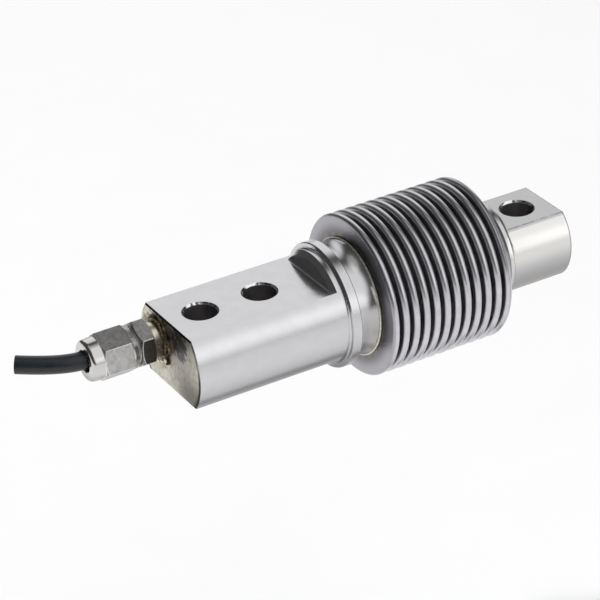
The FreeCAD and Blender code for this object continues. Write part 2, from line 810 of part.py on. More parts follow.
# Strain gauges: foil gauges bonded above and below the two eyes.
for level, sign in (("top", 1), ("bottom", -1)):
    for end, eye_x in (("rear", eye_rear_x), ("front", eye_front_x)):
        name = f"strain_gauge_{level}_{end}"
        gauge = doc.addObject("Part::Box", name)
        gauge.Label = name
        for key, size in (
            ("Length", "gauge_length"), ("Width", "gauge_width"), ("Height", "gauge_thickness"),
        ):
            gauge.setExpression(key, s[size].formula)
        gauge_z = half_height if sign > 0 else -half_height - s["gauge_thickness"]
        place(gauge, eye_x - s["gauge_length"] / 2, -s["gauge_width"] / 2, gauge_z)

# Fine leads: a pair from each rear gauge to the board, and a pair that joins
# the front gauge to the rear one.
lead_z = half_height + s["gauge_thickness"] + s["lead_lift"] + s["lead_radius"]
half_gauge = s["gauge_length"] / 2
lead_turn_x = solder_x + s["lead_turn_reach"]
lead_pads = []
for level, sign in (("top", 1), ("bottom", -1)):
    z = lead_z * sign
    arch = (lead_z + s["bridge_rise"]) * sign
    leads = []
    bridges = []
    for number, side in enumerate((1, -1)):
        lead_y = s["lead_spacing"] / 2 * side
        pad_y = half_width + s["lead_pad_reach"] + s["lead_pad_spacing"] * number
        turn_x = lead_turn_x + s["lead_setback"] * number
        leads.append(tube_shape("gauge lead", [
            (eye_rear_x - half_gauge + s["gauge_tab"], lead_y, z),
            (turn_x, lead_y, z),
            (turn_x, pad_y, z),
            (solder_x, pad_y, z),
        ], s["lead_radius"]))
        lead_pads.append((pad_y, z))
        back_x = eye_rear_x + half_gauge - s["gauge_tab"]
        ahead_x = eye_front_x - half_gauge + s["gauge_tab"]
        bridges.append(tube_shape("bridge lead", [
            (back_x, lead_y, z),
            (back_x + s["bridge_run"], lead_y, arch),
            (ahead_x - s["bridge_run"], lead_y, arch),
            (ahead_x, lead_y, z),
        ], s["lead_radius"]))
    shaped(f"gauge_leads_{level}", Part.makeCompound(leads))
    shaped(f"bridge_leads_{level}", Part.makeCompound(bridges))

# Solder points: small cones of solder on the board, one under each wire end.
cones = []
pads = [(y, z, s["core_radius"]) for y, z in core_pads]
pads += [(y, z, s["lead_pad_radius"]) for y, z in lead_pads]
for y, z, top in pads:
    base = FreeCAD.Vector(board_x.value, y.value, z.value)
    foot = top.value + s["solder_height"].value / 2
    cones.append(Part.makeCone(foot, top.value, s["solder_height"].value, base, FreeCAD.Vector(1, 0, 0)))
shaped("solder_points", Part.makeCompound(cones))

doc.recompute()

pieces = [obj for obj in doc.Objects if obj.TypeId in ("PartDesign::Body", "Part::Box", "Part::Feature")]
for obj in doc.Objects:
    if "Invalid" in obj.State or "Error" in obj.State:
        raise RuntimeError(f"{obj.Name} is {obj.State}")
for piece in pieces:
    shape = piece.Shape
    if shape.isNull() or not shape.isValid():
        raise RuntimeError(f"{piece.Label} has no valid shape")
    shape.exportStep(os.path.join("parts", f"{piece.Label}.step"))
    print(f"{piece.Label}: {len(shape.Solids)} solid, {shape.Volume:.1f} mm3")
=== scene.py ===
import math

import bmesh
import bpy
from mathutils import Matrix, Vector


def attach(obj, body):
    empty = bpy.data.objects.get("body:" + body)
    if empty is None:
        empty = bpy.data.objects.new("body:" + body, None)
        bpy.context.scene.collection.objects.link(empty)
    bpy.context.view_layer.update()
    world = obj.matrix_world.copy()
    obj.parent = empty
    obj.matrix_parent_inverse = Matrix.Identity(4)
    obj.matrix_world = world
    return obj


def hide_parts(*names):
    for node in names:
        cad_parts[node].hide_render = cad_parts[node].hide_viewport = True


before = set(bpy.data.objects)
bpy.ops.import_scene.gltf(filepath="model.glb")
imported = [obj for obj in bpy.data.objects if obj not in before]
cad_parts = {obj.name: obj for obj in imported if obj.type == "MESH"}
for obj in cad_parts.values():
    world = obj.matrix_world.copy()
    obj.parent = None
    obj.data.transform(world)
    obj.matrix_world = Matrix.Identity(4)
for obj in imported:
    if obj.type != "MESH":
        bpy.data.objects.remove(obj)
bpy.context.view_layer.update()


# Spring element
# One bar of stainless steel, turned between centres and milled flat above and
# below at both ends, with drilled holes. Its rear face is sawn, and stained by
# the heat of the gland's weld.

MM = 0.001
AXIS_HEIGHT = 10.25
HOLE_PLACES = (-9.0, 9.0, 91.5)
GLAND_Y = 5.7
GLAND_Z = 13.25
HEAT_STAIN = (0.0, -6.4, 16.6)
LOAD_FLAT_EDGE = -8.9
FAR_AWAY = 100.0
MERGE_WITHIN = 2e-6


def linear(colour):
    """sRGB hex to linear light, with full alpha."""
    parts = [int(colour[i:i + 2], 16) / 255 for i in (0, 2, 4)]
    return (*[p / 12.92 if p <= 0.04045 else ((p + 0.055) / 1.055) ** 2.4 for p in parts], 1.0)


def add(tree, kind, inputs=None, stops=None, **settings):
    """Add a node with its settings, colour stops, plain values and links."""
    made = tree.nodes.new(kind)
    for key, value in settings.items():
        setattr(made, key, value)
    for key, value in (inputs or {}).items():
        if isinstance(value, bpy.types.Node):
            value = next(out for out in value.outputs if out.enabled)
        if isinstance(value, bpy.types.NodeSocket):
            tree.links.new(value, made.inputs[key])
        else:
            made.inputs[key].default_value = value
    if stops:
        elements = made.color_ramp.elements
        for element, (position, colour) in zip(elements, (stops[0], stops[-1])):
            element.position, element.color = position, linear(colour)
        for position, colour in stops[1:-1]:
            elements.new(position).color = linear(colour)
    return made


def finish_for(name):
    """A new material with its tree and the piece's coordinates in mm."""
    material = bpy.data.materials.new(name)
    material.use_nodes = True
    tree = material.node_tree
    tree.nodes.clear()
    spot = add(tree, "ShaderNodeTexCoord").outputs["Object"]
    place = add(tree, "ShaderNodeVectorMath", {0: spot, "Scale": 1 / MM}, operation="SCALE")
    return material, tree, place


def layered(tree, tint, gloss, layers):
    """Lay tints over a tint, each with a roughness, where its masks allow.
    A mask is a value, where it starts and where it is full."""
    for above, rough, amount, masks in layers:
        share = amount
        for value, start, full in masks:
            step = add(tree, "ShaderNodeMapRange", {
                "Value": value, "From Min": start, "From Max": full,
            }, interpolation_type="SMOOTHSTEP")
            share = add(tree, "ShaderNodeMath", {0: step, 1: share}, operation="MULTIPLY")
        above = linear(above) if isinstance(above, str) else above
        tint = add(tree, "ShaderNodeMix", {0: share, 6: tint, 7: above}, data_type="RGBA")
        gloss = add(tree, "ShaderNodeMix", {0: share, 2: gloss, 3: rough})
    return tint, gloss


def surfaced(tree, tint, gloss, relief, strength, depth, metal=1.0, edges=None):
    """Close a material: its colour, roughness and fine relief, depth in mm.
    Edges are a Bevel node, whose rounding the relief is laid on."""
    bump = add(tree, "ShaderNodeBump", {
        "Height": relief, "Strength": strength, "Distance": depth * MM,
    })
    if edges:
        tree.links.new(edges.outputs["Normal"], bump.inputs["Normal"])
    shader = add(tree, "ShaderNodeBsdfPrincipled", {
        "Base Color": tint, "Roughness": gloss, "Metallic": metal, "Normal": bump,
    })
    add(tree, "ShaderNodeOutputMaterial", {"Surface": shader})


def stands_for(piece, cad_name):
    """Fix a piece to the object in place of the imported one."""
    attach(piece, "root")
    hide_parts(cad_name)
    return piece


def merged_copy(cad_name, piece_name, material, sharp):
    """A joined-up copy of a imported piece, smooth between its sharp edges."""
    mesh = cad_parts[cad_name].data.copy()
    mesh.name = piece_name
    for attribute in [a for a in mesh.attributes if a.name == "custom_normal"]:
        mesh.attributes.remove(attribute)
    work = bmesh.new()
    work.from_mesh(mesh)
    bmesh.ops.remove_doubles(work, verts=work.verts, dist=MERGE_WITHIN)
    bmesh.ops.dissolve_limit(
        work, angle_limit=math.radians(0.6), verts=work.verts, edges=work.edges,
    )
    work.to_mesh(mesh)
    work.free()
    mesh.materials.clear()
    mesh.materials.append(material)
    mesh.shade_smooth()
    mesh.set_sharp_from_angle(angle=math.radians(sharp))
    piece = bpy.data.objects.new(piece_name, mesh)
    bpy.context.scene.collection.objects.link(piece)
    return stands_for(piece, cad_name)


# Turned and milled stainless steel: pale, neutral and satin, with marks of 0.4 mm feed that run round
# the bar, drawn far coarser than the real ones. The sawn end is warmer, duller and mottled, with a straw
# and blue-grey heat stain, and painted darker toward its lower near corner as painted shade. The bar is
# painted darker toward its bottom as painted shade, and the load end's round side lighter toward its top
# as painted light. Edges are darker; along the bottom of the sawn end's round edge and round the load
# end's front edge this is painted shade. Hole rims are bright, and the drilled walls rougher and
# darkened as painted shade.
steel, tree, place = finish_for("stainless_steel_turned")
axis = add(tree, "ShaderNodeSeparateXYZ", {"Vector": place}).outputs
feed = add(tree, "ShaderNodeMapping", {"Vector": place, "Scale": (2.5, 0.05, 0.05)})
marks = add(tree, "ShaderNodeTexNoise", {"Vector": feed, "Scale": 1.0, "Detail": 3.0})
cloud = add(tree, "ShaderNodeTexNoise", {"Vector": place, "Scale": 0.25, "Detail": 5.0})
clean = add(tree, "ShaderNodeValToRGB", {"Fac": cloud}, stops=[(0.35, "cbcbcd"), (0.65, "cfcfd1")])
grit = add(tree, "ShaderNodeTexNoise", {
    "Vector": place, "Scale": 0.7, "Detail": 8.0, "Roughness": 0.62,
})
sawn = add(tree, "ShaderNodeValToRGB", {"Fac": grit}, stops=[
    (0.3, "a7a298"), (0.5, "c9c4b7"), (0.68, "dcd8cc"),
])
straw = add(tree, "ShaderNodeValToRGB", {"Fac": grit}, stops=[
    (0.35, "6e6650"), (0.5, "a59b7e"), (0.62, "cfc7b0"),
])
soot = add(tree, "ShaderNodeValToRGB", {"Fac": grit}, stops=[
    (0.4, "333237"), (0.56, "565459"), (0.66, "aaa7a6"),
])
polish = add(tree, "ShaderNodeMath", {0: marks, 1: 0.07, 2: 0.17}, operation="MULTIPLY_ADD")
across = add(tree, "ShaderNodeVectorMath", {0: place, 1: (0.0, 1.0, 1.0)}, operation="MULTIPLY")
from_gland = add(tree, "ShaderNodeVectorMath", {
    0: across, 1: (0.0, GLAND_Y, GLAND_Z),
}, operation="DISTANCE")
from_stain = add(tree, "ShaderNodeVectorMath", {0: across, 1: HEAT_STAIN}, operation="DISTANCE")
stain = add(tree, "ShaderNodeMath", {0: grit, 1: 9.0, 2: from_stain}, operation="MULTIPLY_ADD")
from_axis = add(tree, "ShaderNodeVectorMath", {
    0: across, 1: (0.0, 0.0, AXIS_HEIGHT),
}, operation="DISTANCE")
level = add(tree, "ShaderNodeVectorMath", {0: place, 1: (1.0, 1.0, 0.0)}, operation="MULTIPLY")
into_hole = FAR_AWAY
for hole_x in HOLE_PLACES:
    gap = add(tree, "ShaderNodeVectorMath", {0: level, 1: (hole_x, 0.0, 0.0)}, operation="DISTANCE")
    into_hole = add(tree, "ShaderNodeMath", {0: gap, 1: into_hole}, operation="MINIMUM")
past_edge = add(tree, "ShaderNodeMath", {0: axis["Y"], 1: -LOAD_FLAT_EDGE}, operation="ADD")
from_edge = add(tree, "ShaderNodeMath", {0: past_edge}, operation="ABSOLUTE")
along, over, up = axis["X"], axis["Y"], axis["Z"]
end_face = (along, -18.6, -18.75)
end_edge = (along, -18.55, -18.65)
load_end = (along, 79.5, 80.5)
neck_end = (along, 37.0, 36.9)
rim_height = (up, 19.3, 19.4)
rim = (into_hole, 5.08, 5.03)
tint, gloss = layered(tree, clean, polish, [
    (straw, 0.24, 0.35, [(along, 31.5, 35.5), neck_end, (cloud, 0.42, 0.62)]),
    # Painted light: the load end's round side is lighter toward its top.
    ("edebe7", 0.26, 0.85, [load_end, (up, 19.4, 19.2), (up, 7.0, 14.0)]),
    # Painted shade: the load end, the block and the collar are darker toward the bottom.
    ("7f7c79", 0.3, 0.85, [load_end, (up, 14.0, 1.0)]),
    ("727174", 0.26, 0.9, [(along, 31.0, 30.0), (up, 10.0, -4.0)]),
    ("8f8c89", 0.3, 0.6, [(along, 30.2, 31.4), neck_end, (up, 17.0, 7.0)]),
    (sawn, 0.4, 1.0, [end_face]),
    ("7d7a74", 0.4, 0.6, [end_face, (from_stain, 14.0, 4.0)]),
    (straw, 0.45, 0.9, [end_face, (from_gland, 10.0, 7.0), (grit, 0.56, 0.46)]),
    (soot, 0.4, 0.9, [end_face, (stain, 9.6, 8.0)]),
    # The load end's milled top is greyer: partly its milled finish, partly painted shade.
    ("a5a5a6", 0.3, 0.5, [(along, 80.0, 81.0), (up, 19.4, 19.7)]),
    # Painted shade: the sawn end is darker toward its lower near corner.
    ("605c56", 0.42, 0.9, [end_face, (over, 3.0, -10.0), (up, 14.0, 3.0)]),
    # Painted shade: the sawn end's round edge is darker toward its bottom, and its top edge is darker as
    # well.
    ("2a2826", 0.4, 0.95, [(along, -18.6, -18.7), (from_axis, 14.6, 15.7), (up, 8.0, 1.0)]),
    ("2e2b29", 0.4, 0.9, [end_edge, (from_axis, 15.8, 15.9), (up, 18.0, 8.0)]),
    ("2e2b29", 0.4, 0.9, [end_edge, (up, 20.0, 20.1)]),
    ("f4f4f4", 0.22, 1.0, [rim_height, rim]),
    ("3a3939", 0.3, 0.9, [rim_height, rim, (grit, 0.52, 0.45)]),
    # Painted shade: the drilled walls are darkened, and rougher.
    ("8a8587", 0.5, 0.9, [(into_hole, 4.54, 4.5)]),
    # Painted shade: a dark band round the load end's front edge.
    ("2f2e2e", 0.3, 0.85, [(along, 100.5, 100.62), (along, 100.99, 100.95)]),
    ("55534f", 0.3, 0.8, [(along, 80.6, 80.7), (along, 81.15, 81.0)]),
    ("5a5958", 0.3, 0.7, [
        (along, 80.0, 81.0), (from_edge, 0.16, 0.08), (up, 19.8, 19.9), (grit, 0.4, 0.5),
    ]),
])
surfaced(tree, tint, gloss, marks, 0.05, 0.02)

merged_copy("spring_element", "load_bar", steel, sharp=28)


# Bellows
# A thin stainless tube rolled into twelve round-topped folds, with a plain
# cuff at each end. The foil keeps the satin of the rolls.

CREST_RADIUS = 23.0
ROOT_RADIUS = 17.6
FIRST_CREST = 37.62
PITCH = 3.27
FOLDS = 12
CREST_ROUND = 1.025
FOIL = 0.25
CUFF_CORNER = 0.16
REAR_SEAM = 36.15
FRONT_SEAM = 79.0
REAR_SEAT = 16.32
FRONT_SEAT = 15.22
PATH_RADIUS = 20.0


def bow(centre, radius, start, end, steps):
    """Points of an arc, from one angle to another in degrees."""
    turns = [math.radians(start + (end - start) * i / steps) for i in range(steps + 1)]
    return [(centre[0] + radius * math.cos(a), centre[1] + radius * math.sin(a)) for a in turns]


def fold_line(first, inside):
    """One skin of the foil from a crest down a valley to the next crest."""
    skin = FOIL if inside else 0.0
    top = (first, CREST_RADIUS - CREST_ROUND)
    valley = PITCH / 2 - CREST_ROUND
    low = (first + PITCH / 2, ROOT_RADIUS + valley)
    fine = 4 if inside else 8
    return (
        bow(top, CREST_ROUND - skin, 90, 0, fine)
        + bow(low, valley + skin, 180, 360, fine)
        + bow((first + PITCH, top[1]), CREST_ROUND - skin, 180, 90, fine)
    )


def cuff_line(crest, seam, seat, front):
    """Both skins of a cuff and the outer half of the end fold."""
    turn = 1 if front else -1
    top = (crest, CREST_RADIUS - CREST_ROUND)
    foot = (crest + turn * (CREST_ROUND + CUFF_CORNER), seat + FOIL + CUFF_CORNER)
    outward = bow(top, CREST_ROUND - FOIL, 90, 0 if front else 180, 6)
    outward += bow(foot, CUFF_CORNER + FOIL, 180 if front else 0, 270 if front else -90, 4)
    outward += [(seam, seat), (seam, seat + FOIL)]
    outward += bow(foot, CUFF_CORNER, 270 if front else -90, 180 if front else 0, 4)
    return outward + bow(top, CREST_ROUND, 0 if front else 180, 90, 10)


# Cold-rolled foil: a little violet against the bar and satin. Its roll marks run round it, drawn 0.3 mm
# wide so that they show, and draw its gloss out across them. The first fold's face is painted darker
# toward its weld as painted shade, with a trace of straw, and the valleys between the folds are painted
# darker as painted shade.
satin_foil, tree, place = finish_for("stainless_foil_rolled")
axis = add(tree, "ShaderNodeSeparateXYZ", {"Vector": place}).outputs
rolls = add(tree, "ShaderNodeMapping", {"Vector": place, "Scale": (3.0, 0.15, 0.15)})
rolled = add(tree, "ShaderNodeTexNoise", {"Vector": rolls, "Scale": 1.0, "Detail": 3.0})
cloud = add(tree, "ShaderNodeTexNoise", {"Vector": place, "Scale": 0.3, "Detail": 4.0})
clean = add(tree, "ShaderNodeValToRGB", {"Fac": cloud}, stops=[(0.3, "c3c1c6"), (0.7, "d2d1d4")])
satin = add(tree, "ShaderNodeMath", {0: rolled, 1: 0.08, 2: 0.25}, operation="MULTIPLY_ADD")
across = add(tree, "ShaderNodeVectorMath", {0: place, 1: (0.0, 1.0, 1.0)}, operation="MULTIPLY")
out_from_axis = add(tree, "ShaderNodeVectorMath", {
    0: across, 1: (0.0, 0.0, AXIS_HEIGHT),
}, operation="DISTANCE")
along = axis["X"]
first_face = (along, 36.9, 36.7)
tint, gloss = layered(tree, clean, satin, [
    ("a9a7ad", 0.34, 1.0, [(along, 37.25, 36.9)]),
    # Painted shade: the first fold's face darker toward its weld.
    ("4c494c", 0.3, 0.85, [first_face, (out_from_axis, 21.6, 16.8)]),
    ("a79f86", 0.32, 0.3, [first_face, (out_from_axis, 18.6, 17.2), (cloud, 0.4, 0.6)]),
    # Painted shade: the valleys between the folds are darker.
    ("8d8b8f", 0.3, 0.75, [(along, 36.7, 37.2), (along, 74.6, 74.1), (out_from_axis, 21.6, 19.4)]),
])
surfaced(tree, tint, gloss, rolled, 0.06, 0.02)
shader = next(node for node in tree.nodes if node.type == "BSDF_PRINCIPLED")
shader.inputs["Anisotropic"].default_value = 0.5
shader.inputs["Anisotropic Rotation"].default_value = 0.25
round_axis = add(tree, "ShaderNodeTangent", direction_type="RADIAL", axis="X")
tree.links.new(round_axis.outputs["Tangent"], shader.inputs["Tangent"])


def socket(tree, name, kind, value=None, output=False):
    """A named input or output of a node tree."""
    way = "OUTPUT" if output else "INPUT"
    made = tree.interface.new_socket(name=name, in_out=way, socket_type=kind)
    if value is not None:
        made.default_value = value
    return made


def settled(piece, tree, values):
    """Run a node tree on a piece and keep what it makes as a plain mesh."""
    modifier = piece.modifiers.new(tree.name, "NODES")
    modifier.node_group = tree
    ids = {i.name: i.identifier for i in tree.interface.items_tree if i.in_out == "INPUT"}
    for name, value in values.items():
        modifier[ids[name]] = value
    shown = piece.evaluated_get(bpy.context.evaluated_depsgraph_get())
    mesh = bpy.data.meshes.new_from_object(shown)
    old = piece.data
    piece.modifiers.remove(modifier)
    piece.data = mesh
    bpy.data.meshes.remove(old)
    return piece


def polylines(name, lines, marks):
    """A mesh of open lines, radius across and x along, each with a mark."""
    points, edges, flags = [], [], []
    for line, mark in zip(lines, marks):
        start = len(points)
        points += [((r - PATH_RADIUS) * MM, x * MM, 0) for x, r in line]
        edges += [(i, i + 1) for i in range(start, len(points) - 1)]
        flags += [mark] * len(line)
    mesh = bpy.data.meshes.new(name)
    mesh.from_pydata(points, edges, [])
    mesh.attributes.new("repeats", "BOOLEAN", "POINT").data.foreach_set("value", flags)
    piece = bpy.data.objects.new(name, mesh)
    bpy.context.scene.collection.objects.link(piece)
    return piece


# The tree repeats the marked lines along the axis, sweeps every line round it
# and joins the folds up.
turned = bpy.data.node_groups.new("folds_swept_round", "GeometryNodeTree")
socket(turned, "Lines", "NodeSocketGeometry")
socket(turned, "Pitch", "NodeSocketFloat", 0.003)
socket(turned, "Valleys", "NodeSocketInt", 1)
socket(turned, "Path radius", "NodeSocketFloat", 0.02)
socket(turned, "Axis height", "NodeSocketFloat", 0.0)
socket(turned, "Round steps", "NodeSocketInt", 160)
socket(turned, "Finish", "NodeSocketMaterial")
socket(turned, "Tube", "NodeSocketGeometry", output=True)
given = add(turned, "NodeGroupInput").outputs
drawn = add(turned, "GeometryNodeMeshToCurve", {"Mesh": given["Lines"]})
marked = add(turned, "GeometryNodeInputNamedAttribute", {"Name": "repeats"}, data_type="BOOLEAN")
parted = add(turned, "GeometryNodeSeparateGeometry", {
    "Geometry": drawn, "Selection": marked.outputs["Attribute"],
}, domain="POINT")
step = add(turned, "ShaderNodeCombineXYZ", {"Y": given["Pitch"]})
stations = add(turned, "GeometryNodeMeshLine", {"Count": given["Valleys"], "Offset": step})
repeated = add(turned, "GeometryNodeInstanceOnPoints", {
    "Points": stations, "Instance": parted.outputs["Selection"],
})
flat = add(turned, "GeometryNodeRealizeInstances", {"Geometry": repeated})
whole = add(turned, "GeometryNodeJoinGeometry")
turned.links.new(flat.outputs["Geometry"], whole.inputs["Geometry"])
turned.links.new(parted.outputs["Inverted"], whole.inputs["Geometry"])
path = add(turned, "GeometryNodeCurvePrimitiveCircle", {
    "Resolution": given["Round steps"], "Radius": given["Path radius"],
})
swept = add(turned, "GeometryNodeCurveToMesh", {"Curve": path, "Profile Curve": whole})
lift = add(turned, "ShaderNodeCombineXYZ", {"Z": given["Axis height"]})
laid = add(turned, "GeometryNodeTransform", {
    "Geometry": swept, "Rotation": (0, -math.pi / 2, 0), "Translation": lift,
})
joined = add(turned, "GeometryNodeMergeByDistance", {"Geometry": laid, "Distance": MERGE_WITHIN})
smooth = add(turned, "GeometryNodeSetShadeSmooth", {"Geometry": joined})
solid = add(turned, "GeometryNodeRealizeInstances", {"Geometry": smooth})
dressed = add(turned, "GeometryNodeSetMaterial", {"Geometry": solid, "Material": given["Finish"]})
add(turned, "NodeGroupOutput", {"Tube": dressed})

last_crest = FIRST_CREST + PITCH * (FOLDS - 1)
bellows = settled(
    polylines("bellows_tube", [
        fold_line(FIRST_CREST, False),
        fold_line(FIRST_CREST, True),
        cuff_line(FIRST_CREST, REAR_SEAM, REAR_SEAT, False),
        cuff_line(last_crest, FRONT_SEAM, FRONT_SEAT, True),
    ], [True, True, False, False]),
    turned,
    {"Pitch": PITCH * MM, "Valleys": FOLDS - 1, "Path radius": PATH_RADIUS * MM,
     "Axis height": AXIS_HEIGHT * MM, "Finish": satin_foil},
)
stands_for(bellows, "bellows")


# Weld seams of the bellows
# Two fine fusion welds, each made in one turn of the tube. The rear one stands
# as a bright ridge of overlapping pulses, the front one lies low in its notch.

# Weld metal that set bright and satin, a little straw. The front seam is painted dark, as painted shade
# in its notch.
seam_metal, tree, place = finish_for("stainless_weld_fused")
speck = add(tree, "ShaderNodeTexNoise", {"Vector": place, "Scale": 1.2, "Detail": 3.0})
tint = add(tree, "ShaderNodeValToRGB", {"Fac": speck}, stops=[(0.35, "dcd6c8"), (0.6, "f6f3ec")])
gloss = add(tree, "ShaderNodeMath", {0: speck, 1: 0.2, 2: 0.4}, operation="MULTIPLY_ADD")
axis = add(tree, "ShaderNodeSeparateXYZ", {"Vector": place}).outputs
# Painted shade: the front seam is dark where it lies in its notch.
tint, gloss = layered(tree, tint, gloss, [("5c5a59", 0.35, 0.9, [(axis["X"], 60.0, 61.0)])])
surfaced(tree, tint, gloss, speck, 0.1, 0.02)

# The tree winds a round bead about an axis along the bar and swells it in
# pulses. Lumps push the metal about where the weld was drawn by hand.
PULSE_STEPS = 6
beaded = bpy.data.node_groups.new("weld_bead_round", "GeometryNodeTree")
socket(beaded, "Start", "NodeSocketGeometry")
socket(beaded, "Ring radius", "NodeSocketFloat", 0.016)
socket(beaded, "Bead radius", "NodeSocketFloat", 0.0003)
socket(beaded, "Pulses", "NodeSocketInt", 200)
socket(beaded, "Swell", "NodeSocketFloat", 0.1)
socket(beaded, "Lumps", "NodeSocketFloat", 0.0)
socket(beaded, "Lump scale", "NodeSocketFloat", 300.0)
socket(beaded, "Sides", "NodeSocketInt", 10)
socket(beaded, "Place", "NodeSocketVector")
socket(beaded, "Finish", "NodeSocketMaterial")
socket(beaded, "Bead", "NodeSocketGeometry", output=True)
given = add(beaded, "NodeGroupInput").outputs
around = add(beaded, "ShaderNodeMath", {0: given["Pulses"], 1: float(PULSE_STEPS)}, operation="MULTIPLY")
ring = add(beaded, "GeometryNodeCurvePrimitiveCircle", {
    "Resolution": around, "Radius": given["Ring radius"],
})
number = add(beaded, "GeometryNodeInputIndex")
phase = add(beaded, "ShaderNodeMath", {0: number, 1: math.pi / PULSE_STEPS}, operation="MULTIPLY")
wave = add(beaded, "ShaderNodeMath", {0: phase}, operation="SINE")
height = add(beaded, "ShaderNodeMath", {0: wave}, operation="ABSOLUTE")
swollen = add(beaded, "ShaderNodeMath", {0: height, 1: given["Swell"], 2: 1.0}, operation="MULTIPLY_ADD")
section = add(beaded, "GeometryNodeCurvePrimitiveCircle", {
    "Resolution": given["Sides"], "Radius": given["Bead radius"],
})
round_bead = add(beaded, "GeometryNodeCurveToMesh", {
    "Curve": ring, "Profile Curve": section, "Scale": swollen,
})
spot = add(beaded, "GeometryNodeInputPosition")
rough = add(beaded, "ShaderNodeTexNoise", {
    "Vector": spot, "Scale": given["Lump scale"], "Detail": 2.0,
})
middle = add(beaded, "ShaderNodeVectorMath", {
    0: rough.outputs["Color"], 1: (0.5, 0.5, 0.5),
}, operation="SUBTRACT")
lump = add(beaded, "ShaderNodeVectorMath", {0: middle, "Scale": given["Lumps"]}, operation="SCALE")
moved = add(beaded, "GeometryNodeSetPosition", {"Geometry": round_bead, "Offset": lump})
laid = add(beaded, "GeometryNodeTransform", {
    "Geometry": moved, "Rotation": (0, -math.pi / 2, 0), "Translation": given["Place"],
})
smooth = add(beaded, "GeometryNodeSetShadeSmooth", {"Geometry": laid})
solid = add(beaded, "GeometryNodeRealizeInstances", {"Geometry": smooth})
dressed = add(beaded, "GeometryNodeSetMaterial", {"Geometry": solid, "Material": given["Finish"]})
add(beaded, "NodeGroupOutput", {"Bead": dressed})


def started(name):
    """An empty piece for a node tree to fill."""
    piece = bpy.data.objects.new(name, bpy.data.meshes.new(name))
    bpy.context.scene.collection.objects.link(piece)
    return piece


SEAMS = [
    # piece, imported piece, place along the bar, ring radius, bead radius
    ("rear_seam_bead", "rear_weld_seam", REAR_SEAM, 16.6, 0.27),
    ("front_seam_bead", "front_weld_seam", FRONT_SEAM + 0.16, FRONT_SEAT, 0.17),
]
for name, cad_name, x, ring_radius, bead_radius in SEAMS:
    bead = settled(started(name), beaded, {
        "Ring radius": ring_radius * MM, "Bead radius": bead_radius * MM, "Pulses": 150,
        "Swell": 0.12, "Place": (x * MM, 0.0, AXIS_HEIGHT * MM), "Finish": seam_metal,
    })
    stands_for(bead, cad_name)


# Cable gland
# A turned hexagon body welded into the end face, and a cap nut. Both are
# nickel-plated: brighter than the bar, with fine marks from the bar stock.

# Nickel plate: a warm grey, a little blotched, with the bar stock's marks along
# it, drawn 0.45 mm wide so that they show.
# Toward the weld the body has gone brown and dark, and its neck cream. The lower near faces of the
# body's hexagon are brown-black: heat tint, laid on that side only as painted shade. The nut is painted
# darker toward its bottom, as painted shade. Edges are painted near white over 0.25 mm: partly burnish
# by spanners, partly painted highlight. The nut's nose is the brightest.
plated, tree, place = finish_for("nickel_plated_gland")
axis = add(tree, "ShaderNodeSeparateXYZ", {"Vector": place}).outputs
drawn = add(tree, "ShaderNodeMapping", {"Vector": place, "Scale": (0.3, 2.2, 2.2)})
lines = add(tree, "ShaderNodeTexNoise", {"Vector": drawn, "Scale": 1.0, "Detail": 3.0})
blotch = add(tree, "ShaderNodeTexNoise", {
    "Vector": place, "Scale": 0.9, "Detail": 6.0, "Roughness": 0.6,
})
clean = add(tree, "ShaderNodeValToRGB", {"Fac": blotch}, stops=[(0.34, "a3a1a0"), (0.62, "bfbdbc")])
burnt = add(tree, "ShaderNodeValToRGB", {"Fac": blotch}, stops=[
    (0.38, "2a2520"), (0.5, "5b4f3f"), (0.62, "a09479"),
])
bright = add(tree, "ShaderNodeMath", {0: blotch, 1: 0.16, 2: 0.26}, operation="MULTIPLY_ADD")
rounded = add(tree, "ShaderNodeBevel", {"Radius": 0.25 * MM}, samples=6)
plain = add(tree, "ShaderNodeNewGeometry").outputs["True Normal"]
level = add(tree, "ShaderNodeVectorMath", {0: rounded, 1: plain}, operation="DOT_PRODUCT")
along, over, up = axis["X"], axis["Y"], axis["Z"]
neck = (along, -22.7, -22.5)
body_hex = [(along, -27.0, -26.2), (along, -22.5, -22.65)]
thread_end = [(along, -30.0, -28.6), (along, -27.2, -27.5)]
tint, gloss = layered(tree, clean, bright, [
    (burnt, 0.35, 0.8, [neck]),
    ("e4ddca", 0.3, 0.9, [neck, (up, 14.0, 17.0)]),
    (burnt, 0.4, 0.95, [(along, -20.9, -20.3)]),
    # Heat tint on the body's hexagon, laid on its lower near faces only as painted shade.
    ("2b2621", 0.35, 0.92, [*body_hex, (over, 0.7, 0.3), (up, 17.0, 16.8)]),
    ("6f6a62", 0.3, 0.6, [*thread_end, (blotch, 0.46, 0.58)]),
    ("cfcdcb", 0.13, 1.0, [(along, -37.45, -37.55)]),
    # Painted shade: the nut is darker toward its bottom.
    ("757371", 0.3, 0.75, [(along, -27.0, -27.5), (up, 12.0, 7.5)]),
    # Edges painted near white: partly spanner burnish, partly painted highlight.
    ("fffdf9", 0.35, 1.0, [(level, 0.99, 0.95), (along, -22.4, -22.6)]),
])
surfaced(tree, tint, gloss, lines, 0.06, 0.02, edges=rounded)

merged_copy("gland_body", "gland_body_welded", plated, sharp=24)

